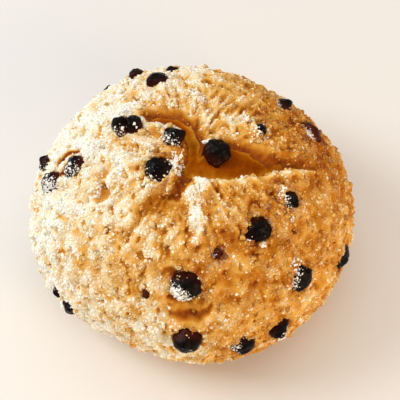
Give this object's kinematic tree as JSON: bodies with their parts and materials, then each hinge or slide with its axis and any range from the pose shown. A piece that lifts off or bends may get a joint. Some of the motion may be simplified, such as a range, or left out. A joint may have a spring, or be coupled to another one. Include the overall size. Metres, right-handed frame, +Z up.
{
  "type": "melon pan bun",
  "caption": "Round domed sweet bun with a cracked, sugar-grained biscuit crust, chocolate chips sunk in it and a flat base.",
  "frame": {"origin": "on the floor under the middle of the bun, at the level of the flat base", "axes": "+Z up through the crown, +X along the long crack that runs from the crown, -Y towards the front with the short low ledge"},
  "size_m": [0.1093, 0.1076, 0.0623],
  "materials": {
    "sugared_crust": "baked biscuit crust, pale cream to golden brown, rough with sugar grains",
    "chocolate": "dark chocolate, softened by baking, satin"
  },
  "bodies": {
    "root": {"bun": "sugared_crust", "chip_01": "chocolate", "chip_02": "chocolate", "chip_03": "chocolate", "chip_04": "chocolate", "chip_05": "chocolate", "chip_06": "chocolate", "chip_07": "chocolate", "chip_08": "chocolate", "chip_09": "chocolate", "chip_10": "chocolate", "chip_11": "chocolate", "chip_12": "chocolate", "chip_13": "chocolate", "chip_14": "chocolate", "chip_15": "chocolate", "chip_16": "chocolate", "chip_17": "chocolate", "chip_18": "chocolate", "chip_19": "chocolate", "chip_20": "chocolate", "chip_21": "chocolate", "chip_22": "chocolate", "chip_23": "chocolate", "chip_24": "chocolate", "chip_25": "chocolate", "chip_26": "chocolate", "chip_27": "chocolate", "chip_28": "chocolate", "chip_29": "chocolate", "chip_30": "chocolate", "chip_31": "chocolate", "chip_32": "chocolate", "chip_33": "chocolate", "chip_34": "chocolate", "chip_35": "chocolate"}
  },
  "joints": []
}
